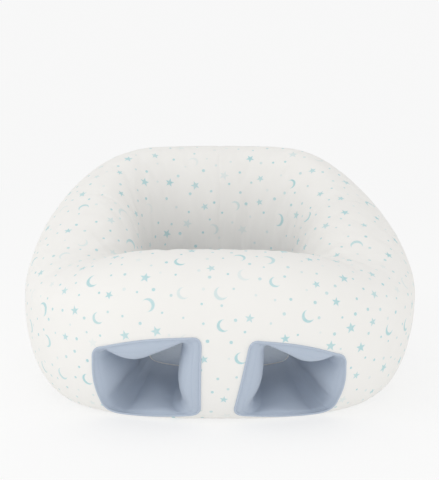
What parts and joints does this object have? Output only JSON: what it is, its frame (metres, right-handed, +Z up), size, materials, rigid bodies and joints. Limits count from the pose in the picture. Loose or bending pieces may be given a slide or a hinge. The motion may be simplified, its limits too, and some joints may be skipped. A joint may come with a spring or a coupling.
{
  "type": "baby floor seat",
  "caption": "Soft stuffed ring seat for a sitting baby: a high back falling to a front roll, a round well and two lined leg openings, with a zipped base.",
  "frame": {"origin": "middle of the base, on the floor under the middle of the box", "axes": "+Z up, the front with the leg openings towards -Y, +X to the sitter's left"},
  "size_m": [0.47, 0.43, 0.26],
  "materials": {
    "printed_knit": "matt brushed knit, off-white with a pale teal print of stars, moons and dots",
    "blue_lining": "matt plain blue-grey cloth",
    "fibre_filling": "white fibre filling in a thin liner",
    "base_fabric": "matt non-slip base cloth with rubber dots",
    "zip_tape": "woven zip tape",
    "zip_nylon": "satin nylon",
    "zip_metal": "satin die-cast metal"
  },
  "bodies": {
    "root": {"cover_front_panel": "printed_knit", "cover_back_left_panel": "printed_knit", "cover_back_right_panel": "printed_knit", "well_lining": "printed_knit", "seat_panel": "blue_lining", "leg_left_floor": "blue_lining", "leg_left_outer_wall": "blue_lining", "leg_left_roof": "blue_lining", "leg_left_inner_wall": "blue_lining", "leg_right_floor": "blue_lining", "leg_right_outer_wall": "blue_lining", "leg_right_roof": "blue_lining", "leg_right_inner_wall": "blue_lining", "seat_filling": "fibre_filling", "front_roll_filling": "fibre_filling", "centre_post_filling": "fibre_filling", "arm_left_filling": "fibre_filling", "arm_right_filling": "fibre_filling", "back_filling": "fibre_filling", "leg_left_ramp_filling": "fibre_filling", "leg_right_ramp_filling": "fibre_filling", "base_front_panel": "base_fabric", "base_rear_panel": "base_fabric", "zip_front_tape": "zip_tape", "zip_rear_tape": "zip_tape", "zip_front_teeth": "zip_nylon", "zip_rear_teeth": "zip_nylon", "zip_left_stop": "zip_nylon", "zip_right_stop": "zip_nylon"},
    "zip_slider": {"zip_slider": "zip_metal"},
    "zip_pull": {"zip_pull": "zip_metal"}
  },
  "joints": [
    {"name": "zip_slide", "type": "slide", "parent": "root", "child": "zip_slider", "axis": [-1, 0, 0], "range_m": [0, 0.217]},
    {"name": "zip_pull_swing", "type": "hinge", "parent": "zip_slider", "child": "zip_pull", "pos_m": [0.1087, 0.064, 0.0016], "axis": [0, -1, 0], "range_deg": [0, 170]}
  ]
}
